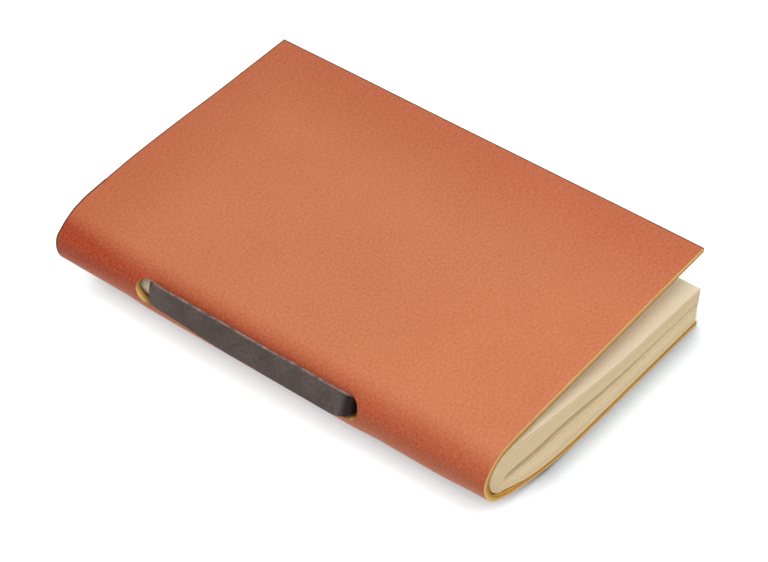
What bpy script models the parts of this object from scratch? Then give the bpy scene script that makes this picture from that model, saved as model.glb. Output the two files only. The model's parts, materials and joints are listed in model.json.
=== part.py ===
"""Pocket notebook: a wrap-round leather cover, nested folded sheets and a strap through the fold.

The notebook lies on its back cover. X runs from the spine to the fore edge, Y from the tail to the
head and Z up. The hinge line, on which the covers and the leaves turn, is the centre of the fold.
Profiles are drawn in the plane across the hinge line, as (distance towards the fore edge, height).
"""

from math import atan, atan2, cos, hypot, pi, radians, sin, sqrt

import bmesh
import bpy
from mathutils import Matrix, Vector

MM = 0.001

# Cover leather
COVER_HEIGHT = 130.0 * MM
BACK_REACH = 79.0 * MM
FRONT_SHORTFALL = 0.6 * MM
LEATHER = 1.3 * MM
FRONT_TILT = radians(2.6)
BACK_FLAT_START = 31.75 * MM
SPINE_CENTRE_RISE = 0.75 * MM
SPINE_FLANGE = 10.0 * MM

# Paper, gathered into bundles of folded sheets
BUNDLES = 6
BUNDLE_THICKNESS = 0.51 * MM
FORE_PITCH = 0.96 * MM
PAGE_END_INSET = 0.3 * MM
PAGE_FORE_INSET = 0.4 * MM
LEAF_START = 4.2 * MM
LENS_END = 25.0 * MM
LEATHER_CONTACT = 14.0 * MM
FOLD_LIFT = 6.64 * MM

# Strap, and the two holes that it goes through
STRAP_ANGLE = radians(164.0)
STRAP_WIDTH = 5.8 * MM
STRAP_LIFT = 0.9 * MM
STRAP_THICKNESS = 1.2 * MM
STRAP_BEND = 0.8 * MM
LEG_WIDTH = 3.2 * MM
LEG_END = 0.5 * MM
HEAD_LEG_SHIFT = 1.5 * MM
TAIL_LEG_SHIFT = 1.8 * MM
INNER_RUN_WIDTH = 6.0 * MM
INNER_RUN_BACK = 0.3 * MM
INNER_RUN_INSET = 0.2 * MM
HOLE_ROOM = 0.26 * MM
HEAD_HOLE_MARGIN = 29.6 * MM
TAIL_HOLE_MARGIN = 39.4 * MM

# Clearances
GAP = 0.3 * MM
FOLD_ROOM = 1.2 * MM
WELD = 0.001 * MM

# Steps along round and bent stretches
SPINE_STEPS = 24
FOLD_STEPS = 20
CURVE_STEPS = 8
LEAF_STEPS = 14
BEND_STEPS = 4
HOLE_SIDES = 24

# Colours, as linear red, green and blue
TAN_LEATHER = (0.651, 0.205, 0.102)
DARK_LEATHER = (0.105, 0.080, 0.072)
CREAM_PAPER = (0.745, 0.624, 0.456)
LEATHER_ROUGHNESS = 0.5
PAPER_ROUGHNESS = 0.9

# Places worked out from the sizes above
FRONT_REACH = BACK_REACH - FRONT_SHORTFALL
PAGE_HEIGHT = COVER_HEIGHT - 2 * PAGE_END_INSET
PAGE_REACH = BACK_REACH - PAGE_FORE_INSET
STRAP_ROOM = STRAP_THICKNESS / 2 + GAP
BUNDLE_PITCH = BUNDLE_THICKNESS + GAP
PAPER_RADIUS = STRAP_ROOM + BUNDLES * BUNDLE_PITCH
SPINE_RADIUS = PAPER_RADIUS + FOLD_ROOM + LEATHER
HINGE_HEIGHT = LEATHER + PAPER_RADIUS + FOLD_LIFT
SPINE_HEIGHT = HINGE_HEIGHT + SPINE_CENTRE_RISE
BACK_CURVE = (BACK_FLAT_START**2 + SPINE_HEIGHT**2 - SPINE_RADIUS**2) / (2 * (SPINE_HEIGHT - SPINE_RADIUS))
BACK_CURVE_HEIGHT = BACK_CURVE - HINGE_HEIGHT
PANEL_START = SPINE_FLANGE + GAP
GAP_FORE_HEIGHT = LEATHER + GAP + BUNDLES * FORE_PITCH + GAP / 2
GAP_SLOPE = (HINGE_HEIGHT - GAP_FORE_HEIGHT) / PAGE_REACH
GAP_ANGLE = -atan(GAP_SLOPE)
STRAP_BASE = SPINE_CENTRE_RISE * sin(STRAP_ANGLE) + SPINE_RADIUS + GAP
STRAP_TOP = STRAP_BASE + STRAP_THICKNESS
STRAP_REACH = (STRAP_WIDTH / 2 - STRAP_LIFT) * sin(STRAP_ANGLE) - STRAP_TOP * cos(STRAP_ANGLE)
HOLE_RADIUS = hypot(LEG_WIDTH / 2, HEAD_LEG_SHIFT + STRAP_THICKNESS) + HOLE_ROOM
HEAD_HOLE = COVER_HEIGHT / 2 - HEAD_HOLE_MARGIN
TAIL_HOLE = TAIL_HOLE_MARGIN - COVER_HEIGHT / 2
STRAP_HEAD = HEAD_HOLE - HEAD_LEG_SHIFT
STRAP_TAIL = TAIL_HOLE - TAIL_LEG_SHIFT

# The origin is under the middle of the notebook, so the hinge line stands to one side of it
HINGE = Vector(((STRAP_REACH - BACK_REACH) / 2, 0.0, HINGE_HEIGHT))
HINGE_FRAME = Matrix.Translation(HINGE) @ Matrix.Rotation(pi / 2, 4, 'X')


def turned_frame(angle):
    """A frame on the hinge line: X points at the angle above the fore edge, Y along the hinge line."""
    return Matrix.Translation(HINGE) @ Matrix.Rotation(-angle, 4, 'Y')


STRAP_FRAME = turned_frame(STRAP_ANGLE)
GUTTER_FRAME = turned_frame(GAP_ANGLE)


def clear_scene():
    """Removes every object of the scene that is open."""
    for found in list(bpy.data.objects):
        bpy.data.objects.remove(found, do_unlink=True)


def new_collection(name):
    """A collection under the scene's own."""
    made = bpy.data.collections.new(name)
    bpy.context.scene.collection.children.link(made)
    return made


def finish(solid, colour, roughness):
    """Gives a sub-part its own plain material."""
    material = bpy.data.materials.new(solid.name)
    material.use_nodes = True
    shader = material.node_tree.nodes["Principled BSDF"]
    shader.inputs["Base Color"].default_value = (*colour, 1.0)
    shader.inputs["Roughness"].default_value = roughness
    shader.inputs["Metallic"].default_value = 0.0
    solid.data.materials.append(material)


def arc(centre, radius, start, end, steps):
    """Points on a circle from one angle to another, both included."""
    angles = [start + (end - start) * step / steps for step in range(steps + 1)]
    return [(centre[0] + radius * cos(angle), centre[1] + radius * sin(angle)) for angle in angles]


def smooth_step(low, high, value):
    """0 below low, 1 above high, and an even rise between them."""
    share = min(max((value - low) / (high - low), 0.0), 1.0)
    return share * share * (3.0 - 2.0 * share)


def outline_solid(collection, name, outline, length, frame):
    """A closed outline in the frame's XY plane, carried half the length to each side along its Z."""
    curve = bpy.data.curves.new(name, 'CURVE')
    curve.dimensions = '2D'
    curve.fill_mode = 'BOTH'
    curve.extrude = length / 2
    spline = curve.splines.new('POLY')
    spline.points.add(len(outline) - 1)
    for point, (across, up) in zip(spline.points, outline):
        point.co = (across, up, 0.0, 1.0)
    spline.use_cyclic_u = True
    drawn = bpy.data.objects.new(name, curve)
    collection.objects.link(drawn)
    mesh = bpy.data.meshes.new_from_object(drawn.evaluated_get(bpy.context.evaluated_depsgraph_get()))
    bpy.data.objects.remove(drawn)
    bpy.data.curves.remove(curve)
    welded = bmesh.new()
    welded.from_mesh(mesh)
    bmesh.ops.remove_doubles(welded, verts=welded.verts, dist=WELD)
    bmesh.ops.recalc_face_normals(welded, faces=welded.faces)
    welded.to_mesh(mesh)
    welded.free()
    mesh.name = name
    solid = bpy.data.objects.new(name, mesh)
    solid.matrix_world = frame
    collection.objects.link(solid)
    return solid


def block(collection, name, low, high, frame):
    """A box between two corners in the frame."""
    made = bmesh.new()
    size = Vector(high) - Vector(low)
    middle = (Vector(high) + Vector(low)) / 2
    bmesh.ops.create_cube(made, size=1.0, matrix=Matrix.Translation(middle) @ Matrix.Diagonal((*size, 1.0)))
    mesh = bpy.data.meshes.new(name)
    made.to_mesh(mesh)
    made.free()
    solid = bpy.data.objects.new(name, mesh)
    solid.matrix_world = frame
    collection.objects.link(solid)
    return solid


def hole_cutter(collection, name, along):
    """A round punch through the spine leather, along the strap's direction from the hinge line."""
    made = bmesh.new()
    place = Matrix.Translation((STRAP_BASE, along, 0.0)) @ Matrix.Rotation(pi / 2, 4, 'Y')
    bmesh.ops.create_cone(
        made,
        cap_ends=True,
        segments=HOLE_SIDES,
        radius1=HOLE_RADIUS,
        radius2=HOLE_RADIUS,
        depth=2 * (STRAP_BASE - PAPER_RADIUS),
        matrix=place,
    )
    mesh = bpy.data.meshes.new(name)
    made.to_mesh(mesh)
    made.free()
    cutter = bpy.data.objects.new(name, mesh)
    cutter.matrix_world = STRAP_FRAME
    collection.objects.link(cutter)
    return cutter


def combine(solid, tool, operation):
    """Cuts the tool out of the solid, or joins it on, and keeps the tool out of the finished part."""
    modifier = solid.modifiers.new(f"{operation.lower()}_{tool.name}", 'BOOLEAN')
    modifier.operation = operation
    modifier.solver = 'EXACT'
    modifier.object = tool
    tool.hide_render = True
    tool.display_type = 'WIRE'


def shade_round(solid):
    """Smooth shading on round stretches, with the cut edges left sharp."""
    solid.data.shade_smooth()
    solid.data.set_sharp_from_angle(angle=radians(30.0))


def back_curve_angle(reach):
    """Angle from straight down, at the back cover's bend, of the point at a reach from the hinge line."""
    return atan2(BACK_FLAT_START - reach, sqrt(BACK_CURVE**2 - (BACK_FLAT_START - reach)**2))


def back_curve(offset, start, end):
    """The back cover's bend between two angles from straight down, at an offset inside its outer face."""
    centre = (BACK_FLAT_START, BACK_CURVE_HEIGHT)
    return arc(centre, BACK_CURVE - offset, -pi / 2 - start, -pi / 2 - end, CURVE_STEPS)


def front_point(reach, offset):
    """A point of the front cover at a reach from the hinge line, at an offset under its outer face."""
    rise = SPINE_CENTRE_RISE + SPINE_RADIUS / cos(FRONT_TILT) + reach * sin(FRONT_TILT) / cos(FRONT_TILT)
    return (reach + offset * sin(FRONT_TILT), rise - offset * cos(FRONT_TILT))


def back_cover_outline():
    """Flat from the fore edge, then bending up towards the spine."""
    bend = back_curve_angle(PANEL_START)
    outer = [(BACK_REACH, -HINGE_HEIGHT)] + back_curve(0.0, 0.0, bend)
    inner = [(BACK_REACH, LEATHER - HINGE_HEIGHT)] + back_curve(LEATHER, 0.0, bend)
    return outer + inner[::-1]


def spine_side(offset):
    """One face of the spine leather, from the back cover round to the front cover."""
    meeting = atan2(BACK_FLAT_START, BACK_CURVE_HEIGHT - SPINE_CENTRE_RISE)
    lower = back_curve(offset, back_curve_angle(SPINE_FLANGE), meeting)
    centre = (0.0, SPINE_CENTRE_RISE)
    start = 3 * pi / 2 - meeting
    end = pi / 2 + FRONT_TILT
    round_part = arc(centre, SPINE_RADIUS - offset, start, end, SPINE_STEPS)
    return lower + round_part[1:] + [front_point(SPINE_FLANGE, offset)]


def front_cover_outline():
    """A straight panel that springs up towards the fore edge."""
    ends = (PANEL_START, FRONT_REACH)
    outer = [front_point(reach, 0.0) for reach in ends]
    inner = [front_point(reach, LEATHER) for reach in ends]
    return outer + inner[::-1]


def gutter_height(reach):
    """Height of the middle of the fold's opening, over the hinge line."""
    return -GAP_SLOPE * reach


def half_opening(reach):
    """Half the gap between the two halves of the paper: wide round the strap, nearly shut beyond it."""
    rest = GAP / 2
    return STRAP_ROOM + (rest - STRAP_ROOM) * smooth_step(INNER_RUN_WIDTH, LENS_END, reach)


def lower_limit(reach):
    """Under side of the lower half: free of the leather at the fold, lying on it beyond."""
    free = gutter_height(reach) - PAPER_RADIUS
    bend = max(BACK_FLAT_START - reach, 0.0)
    leather = BACK_CURVE_HEIGHT - sqrt((BACK_CURVE - LEATHER)**2 - bend**2) + GAP
    return free + (leather - free) * smooth_step(LEAF_START, LEATHER_CONTACT, reach)


def upper_limit(reach):
    """Top side of the upper half, which keeps the thickness of its stacked bundles."""
    fore = GAP / 2 + BUNDLES * FORE_PITCH
    share = (reach - LEAF_START) / (PAGE_REACH - LEAF_START)
    return gutter_height(reach) + PAPER_RADIUS + (fore - PAPER_RADIUS) * share


def leaf_outline(number, side, limit):
    """Profile of one bundle of leaves. Side is 1 above the fold's opening and -1 below it."""
    near = []
    far = []
    for step in range(LEAF_STEPS + 1):
        share = (step / LEAF_STEPS)**2
        reach = LEAF_START + (PAGE_REACH - LEAF_START) * share
        inside = gutter_height(reach) + side * half_opening(reach)
        pitch = (limit(reach) - inside) / BUNDLES
        near.append((reach, inside + number * pitch + side * GAP / 2))
        far.append((reach, inside + (number + 1) * pitch - side * GAP / 2))
    return near + far[::-1]


def flange_end(height):
    """A point of a fold's flange at a height over the gutter, where the leaf's upright end faces it."""
    return ((LEAF_START - GAP + height * sin(GAP_ANGLE)) / cos(GAP_ANGLE), height)


def fold_outline(number):
    """Profile of one bundle's fold: half a ring with a short flange towards each leaf."""
    inner = STRAP_ROOM + number * BUNDLE_PITCH + GAP / 2
    outer = inner + BUNDLE_THICKNESS
    outside = arc((0.0, 0.0), outer, pi / 2, 3 * pi / 2, FOLD_STEPS)
    inside = arc((0.0, 0.0), inner, 3 * pi / 2, pi / 2, FOLD_STEPS)
    lower_ends = [flange_end(-outer), flange_end(-inner)]
    return [flange_end(outer)] + outside + lower_ends + inside + [flange_end(inner)]


def strap_outline():
    """Outer run and both legs of the strap, seen from the side: distance from the hinge line, then length."""
    outer_bend = STRAP_BEND + STRAP_THICKNESS
    near = (STRAP_BASE - STRAP_BEND, STRAP_TAIL + outer_bend)
    far = (STRAP_BASE - STRAP_BEND, STRAP_HEAD - outer_bend)
    outside = arc(near, outer_bend, -pi / 2, 0.0, BEND_STEPS) + arc(far, outer_bend, 0.0, pi / 2, BEND_STEPS)
    inside = arc(far, STRAP_BEND, pi / 2, 0.0, BEND_STEPS) + arc(near, STRAP_BEND, 0.0, -pi / 2, BEND_STEPS)
    head_end = [(-LEG_END, STRAP_HEAD), (-LEG_END, STRAP_HEAD - STRAP_THICKNESS)]
    tail_end = [(-LEG_END, STRAP_TAIL + STRAP_THICKNESS), (-LEG_END, STRAP_TAIL)]
    return outside + head_end + inside + tail_end


def leg_slots(cutters, fold):
    """Slots in a fold for the strap's legs, with clearance all round them."""
    half = LEG_WIDTH / 2 + GAP
    reach = PAPER_RADIUS + GAP
    for place, low, high in (
        ("head", STRAP_HEAD - STRAP_THICKNESS, STRAP_HEAD),
        ("tail", STRAP_TAIL, STRAP_TAIL + STRAP_THICKNESS),
    ):
        corner = (-LEG_END - GAP, low - GAP, -half)
        slot = block(cutters, f"{fold.name}_{place}_slot", corner, (reach, high + GAP, half), STRAP_FRAME)
        combine(fold, slot, 'DIFFERENCE')


def build_covers(parts, cutters):
    """Back panel, spine with its two holes, and front panel."""
    back = outline_solid(parts, "back_cover", back_cover_outline(), COVER_HEIGHT, HINGE_FRAME)
    spine_outline = spine_side(0.0) + spine_side(LEATHER)[::-1]
    spine = outline_solid(parts, "spine_cover", spine_outline, COVER_HEIGHT, HINGE_FRAME)
    combine(spine, hole_cutter(cutters, "head_hole", HEAD_HOLE), 'DIFFERENCE')
    combine(spine, hole_cutter(cutters, "tail_hole", TAIL_HOLE), 'DIFFERENCE')
    front = outline_solid(parts, "front_cover", front_cover_outline(), COVER_HEIGHT, HINGE_FRAME)
    for cover in (back, spine, front):
        shade_round(cover)
        finish(cover, TAN_LEATHER, LEATHER_ROUGHNESS)


def build_paper(parts, cutters):
    """Each bundle's lower leaves, upper leaves and fold, from the middle of the notebook outwards."""
    fold_frame = HINGE_FRAME @ Matrix.Rotation(GAP_ANGLE, 4, 'Z')
    for number in range(BUNDLES):
        name = number + 1
        below = leaf_outline(number, -1, lower_limit)
        above = leaf_outline(number, 1, upper_limit)
        lower = outline_solid(parts, f"lower_leaves_{name}", below, PAGE_HEIGHT, HINGE_FRAME)
        upper = outline_solid(parts, f"upper_leaves_{name}", above, PAGE_HEIGHT, HINGE_FRAME)
        fold = outline_solid(parts, f"sheet_fold_{name}", fold_outline(number), PAGE_HEIGHT, fold_frame)
        leg_slots(cutters, fold)
        for piece in (lower, upper, fold):
            shade_round(piece)
            finish(piece, CREAM_PAPER, PAPER_ROUGHNESS)


def build_strap(parts, cutters):
    """One strap: along the outside of the spine, in through both holes, and along the fold inside."""
    raised = STRAP_FRAME @ Matrix.Translation((0.0, 0.0, -STRAP_LIFT))
    strap = outline_solid(parts, "binding_strap", strap_outline(), STRAP_WIDTH, raised)
    waist = STRAP_BASE - GAP / 2
    for side in (-1, 1):
        near = (-2 * LEG_END, STRAP_TAIL - GAP, min(side * LEG_WIDTH / 2, side * STRAP_WIDTH))
        far = (waist, STRAP_HEAD + GAP, max(side * LEG_WIDTH / 2, side * STRAP_WIDTH))
        trim = block(cutters, "upper_trim" if side > 0 else "lower_trim", near, far, STRAP_FRAME)
        combine(strap, trim, 'DIFFERENCE')
    low = (-INNER_RUN_BACK, STRAP_TAIL + INNER_RUN_INSET, -STRAP_THICKNESS / 2)
    high = (INNER_RUN_WIDTH - INNER_RUN_BACK, STRAP_HEAD - INNER_RUN_INSET, STRAP_THICKNESS / 2)
    combine(strap, block(cutters, "inner_run", low, high, GUTTER_FRAME), 'UNION')
    finish(strap, DARK_LEATHER, LEATHER_ROUGHNESS)


def main():
    clear_scene()
    parts = new_collection("leather_notebook")
    cutters = new_collection("cutters")
    build_covers(parts, cutters)
    build_paper(parts, cutters)
    build_strap(parts, cutters)


main()
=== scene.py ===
"""Looks of the leather notebook: a wrapped hide cover, folded sheets and a strap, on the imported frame.

Every leather and paper piece is cut as a flat slab, with its holes and eased edges, and then wrapped
to its place. Lengths are in metres. X runs from the spine to the fore edge, Y from the tail to the
head, Z up. Profiles are worked out in the plane across the hinge line, measured from that line.
"""

import json
import logging
from collections.abc import Callable
from dataclasses import dataclass, field
from enum import Enum, IntEnum
from math import atan, atan2, cos, pi, radians, sin, sqrt

import bmesh
import bpy
from mathutils import Matrix, Vector, noise
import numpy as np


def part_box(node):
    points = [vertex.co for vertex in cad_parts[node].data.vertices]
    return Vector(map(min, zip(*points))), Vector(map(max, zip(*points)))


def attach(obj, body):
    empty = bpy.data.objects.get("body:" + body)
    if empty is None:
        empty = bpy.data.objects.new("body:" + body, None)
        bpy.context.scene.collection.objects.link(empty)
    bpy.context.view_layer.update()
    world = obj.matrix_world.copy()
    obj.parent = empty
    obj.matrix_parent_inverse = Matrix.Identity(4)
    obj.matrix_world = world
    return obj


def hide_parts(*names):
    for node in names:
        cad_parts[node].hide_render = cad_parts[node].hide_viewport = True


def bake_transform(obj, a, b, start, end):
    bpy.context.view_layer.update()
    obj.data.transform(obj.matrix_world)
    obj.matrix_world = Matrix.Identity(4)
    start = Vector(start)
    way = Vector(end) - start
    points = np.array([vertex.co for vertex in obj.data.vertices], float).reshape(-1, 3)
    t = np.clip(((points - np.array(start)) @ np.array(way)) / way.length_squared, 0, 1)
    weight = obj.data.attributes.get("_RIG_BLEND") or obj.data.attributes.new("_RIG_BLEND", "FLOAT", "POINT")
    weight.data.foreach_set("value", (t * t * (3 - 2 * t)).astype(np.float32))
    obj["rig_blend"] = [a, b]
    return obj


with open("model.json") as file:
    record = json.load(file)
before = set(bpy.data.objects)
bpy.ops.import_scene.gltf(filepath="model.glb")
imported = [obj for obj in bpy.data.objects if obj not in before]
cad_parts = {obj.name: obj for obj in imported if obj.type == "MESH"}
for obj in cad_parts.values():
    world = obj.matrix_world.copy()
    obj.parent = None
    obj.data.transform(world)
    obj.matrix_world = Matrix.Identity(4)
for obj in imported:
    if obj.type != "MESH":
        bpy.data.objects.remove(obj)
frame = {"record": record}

LOG = logging.getLogger("notebook")
MM = 0.001
PER_MM = 1 / MM

# Limits used when slabs are cut and finished
WELD = 0.02 * MM
SEAM_NEAR = 0.01 * MM
HOLE_RING = 1.3
EDGE_TILT = 0.5
FACE_TILT = 0.8
RIM_TILT = 0.2
SHARP_ANGLE = radians(38.0)

Bend = Callable[[Vector], Vector]
Source = bpy.types.NodeSocket | float | tuple


class Side(Enum):
    """The two halves of the paper, with the direction in which each is stacked from the gutter."""

    LOWER = -1
    UPPER = 1


class Layer(IntEnum):
    """Material slots of a slab: its outer face, its cut edges, its inner face and a dark rim."""

    OUTER = 0
    CUT = 1
    INNER = 2
    RIM = 3


def linear(code: str) -> tuple[float, float, float, float]:
    """Turns an sRGB hex colour to linear light.

    Args:
        code: a colour such as #d07c59.

    Returns:
        Red, green, blue and an alpha of 1.
    """
    shares = [int(code[start:start + 2], 16) / 255 for start in (1, 3, 5)]
    light = [s / 12.92 if s <= 0.04045 else ((s + 0.055) / 1.055)**2.4 for s in shares]
    return (light[0], light[1], light[2], 1.0)


def ease(low: float, high: float, value: float) -> float:
    """Rises smoothly from 0 at low to 1 at high.

    Args:
        low: where the rise starts.
        high: where it ends.
        value: the place asked for.

    Returns:
        A share between 0 and 1.
    """
    share = min(max((value - low) / (high - low), 0.0), 1.0)
    return share * share * (3.0 - 2.0 * share)


def add_node(
    tree: bpy.types.NodeTree,
    kind: str,
    settings: dict[str, object],
    sources: dict[str | int, Source],
) -> bpy.types.Node:
    """Adds one node with its settings, values and links.

    Args:
        tree: the material's or world's node tree.
        kind: the node's type name.
        settings: values set on the node itself.
        sources: a value, or the socket that feeds it, for each input by name or number.

    Returns:
        The new node.
    """
    node = tree.nodes.new(kind)
    for name, value in settings.items():
        setattr(node, name, value)
    for name, source in sources.items():
        if isinstance(source, bpy.types.NodeSocket):
            tree.links.new(source, node.inputs[name])
        else:
            node.inputs[name].default_value = source
    return node


def new_material(name: str) -> tuple[bpy.types.Material, bpy.types.NodeTree, bpy.types.Node]:
    """Starts a material.

    Args:
        name: the finish's name.

    Returns:
        The material, its node tree and its main shader.
    """
    material = bpy.data.materials.new(name)
    material.use_nodes = True
    tree = material.node_tree
    return material, tree, tree.nodes["Principled BSDF"]


@dataclass(frozen=True)
class GrainLeather:
    """Full-grain cowhide, dyed tan and lightly waxed: a soft broken sheen, fine pores and a cloudy dye."""

    name: str = "full_grain_tan_cowhide"
    colour: str = "#c97750"
    cloud_colour: str = "#c4714a"
    # Colour mixed in round the spine is partly dye and partly painted shade; at the fore and head edges it is
    # painted shade
    spine_dye_and_shade_colour: str = "#ac4422"
    cloud_mm: float = 24.0
    cloud_depth: float = 0.7
    speck_mm: float = 0.7
    # Colour added and taken away by the specks; the added part is a painted glint
    speck_glint_and_tone: tuple[float, float, float] = (0.062, 0.037, 0.026)
    pore_mm: float = 0.5
    pore_soft: float = 0.6
    pore_bump: float = 0.22
    pore_depth: float = 0.06 * MM
    rough_low: float = 0.47
    rough_high: float = 0.64
    specular: float = 0.35
    refraction: float = 1.48
    spine_middle: float = 1.5 * MM
    spine_end: float = 9.0 * MM
    spine_dye_and_shade: float = 0.75
    tail_share: float = 0.9
    head_share: float = 1.4
    half_height: float = 65.0 * MM
    fore_start: float = 55.0 * MM
    fore_end: float = 89.0 * MM
    fore_painted_shade: float = 0.36
    head_start: float = 38.0 * MM
    head_painted_shade: float = 0.3

    def material(self) -> bpy.types.Material:
        """Makes the grain side's material on the slab's flat map."""
        material, tree, shader = new_material(self.name)
        place = add_node(tree, "ShaderNodeTexCoord", {}, {}).outputs["UV"]
        flat = add_node(tree, "ShaderNodeMapping", {}, {"Vector": place, "Scale": (PER_MM, PER_MM, PER_MM)})
        flat = flat.outputs["Vector"]
        clouds = add_node(
            tree,
            "ShaderNodeTexNoise",
            {},
            {"Vector": flat, "Scale": 1 / self.cloud_mm, "Detail": 4.0, "Roughness": 0.55},
        )
        clouds = add_node(
            tree,
            "ShaderNodeMapRange",
            {},
            {"Value": clouds.outputs["Fac"], "From Min": 0.35, "From Max": 0.7, "To Max": self.cloud_depth},
        )
        base = add_node(
            tree,
            "ShaderNodeMix",
            {"data_type": "RGBA"},
            {0: clouds.outputs["Result"], 6: linear(self.colour), 7: linear(self.cloud_colour)},
        )
        # Deeper red round the spine, partly the dye of leather drawn tight and partly painted shade where the
        # spine turns away from the light, more at the head; painted shade at the fore and head edges
        axes = add_node(tree, "ShaderNodeSeparateXYZ", {}, {"Vector": place}).outputs
        across = add_node(
            tree,
            "ShaderNodeMath",
            {"operation": "SUBTRACT"},
            {0: axes["X"], 1: self.spine_middle},
        )
        distance = add_node(tree, "ShaderNodeMath", {"operation": "ABSOLUTE"}, {0: across.outputs["Value"]})
        distance = distance.outputs["Value"]
        stretch = add_node(
            tree,
            "ShaderNodeMapRange",
            {"interpolation_type": "SMOOTHSTEP"},
            {"Value": distance, "From Max": self.spine_end, "To Min": self.spine_dye_and_shade, "To Max": 0.0},
        )
        dye_and_shade_along = add_node(
            tree,
            "ShaderNodeMapRange",
            {},
            {
                "Value": axes["Y"],
                "From Min": -self.half_height,
                "From Max": self.half_height,
                "To Min": self.tail_share,
                "To Max": self.head_share,
            },
        )
        stretch = add_node(
            tree,
            "ShaderNodeMath",
            {"operation": "MULTIPLY"},
            {0: stretch.outputs["Result"], 1: dye_and_shade_along.outputs["Result"]},
        )
        ends = {"From Min": self.fore_start, "From Max": self.fore_end, "To Max": self.fore_painted_shade}
        fore = add_node(
            tree,
            "ShaderNodeMapRange",
            {"interpolation_type": "SMOOTHSTEP"},
            {"Value": distance, **ends},
        )
        ends = {"From Min": self.head_start, "From Max": self.half_height, "To Max": self.head_painted_shade}
        head = add_node(
            tree,
            "ShaderNodeMapRange",
            {"interpolation_type": "SMOOTHSTEP"},
            {"Value": axes["Y"], **ends},
        )
        painted_edge_shade = add_node(
            tree,
            "ShaderNodeMath",
            {"operation": "MAXIMUM"},
            {0: fore.outputs["Result"], 1: head.outputs["Result"]},
        )
        dye_and_painted_shade = add_node(
            tree,
            "ShaderNodeMath",
            {"operation": "ADD"},
            {0: stretch.outputs["Value"], 1: painted_edge_shade.outputs["Value"]},
        )
        base = add_node(
            tree,
            "ShaderNodeMix",
            {"data_type": "RGBA"},
            {0: dye_and_painted_shade.outputs["Value"], 6: base.outputs[2], 7: linear(self.spine_dye_and_shade_colour)},
        )
        # Pale specks between the pores are painted glints and dark specks are grain tone; both are drawn
        # coarser than real grain so that they show
        specks = add_node(
            tree,
            "ShaderNodeTexNoise",
            {},
            {"Vector": flat, "Scale": 1 / self.speck_mm, "Detail": 3.0, "Roughness": 0.65},
        )
        specks = add_node(
            tree,
            "ShaderNodeMapRange",
            {},
            {"Value": specks.outputs["Fac"], "From Min": 0.3, "From Max": 0.7, "To Min": -1.0, "To Max": 1.0},
        )
        specks = add_node(
            tree,
            "ShaderNodeVectorMath",
            {"operation": "SCALE"},
            {"Vector": self.speck_glint_and_tone, "Scale": specks.outputs["Result"]},
        )
        base = add_node(
            tree,
            "ShaderNodeMix",
            {"data_type": "RGBA", "blend_type": "ADD"},
            {0: 1.0, 6: base.outputs[2], 7: specks.outputs["Vector"]},
        )
        tree.links.new(base.outputs[2], shader.inputs["Base Color"])
        pores = add_node(
            tree,
            "ShaderNodeTexVoronoi",
            {"feature": "SMOOTH_F1"},
            {"Vector": flat, "Scale": 1 / self.pore_mm, "Smoothness": self.pore_soft},
        )
        rough = add_node(
            tree,
            "ShaderNodeMapRange",
            {},
            {
                "Value": pores.outputs["Distance"],
                "From Min": 0.1,
                "From Max": 0.7,
                "To Min": self.rough_low,
                "To Max": self.rough_high,
            },
        )
        tree.links.new(rough.outputs["Result"], shader.inputs["Roughness"])
        bump = add_node(
            tree,
            "ShaderNodeBump",
            {"invert": True},
            {"Height": pores.outputs["Distance"], "Strength": self.pore_bump, "Distance": self.pore_depth},
        )
        tree.links.new(bump.outputs["Normal"], shader.inputs["Normal"])
        shader.inputs["Specular IOR Level"].default_value = self.specular
        shader.inputs["IOR"].default_value = self.refraction
        return material


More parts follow.
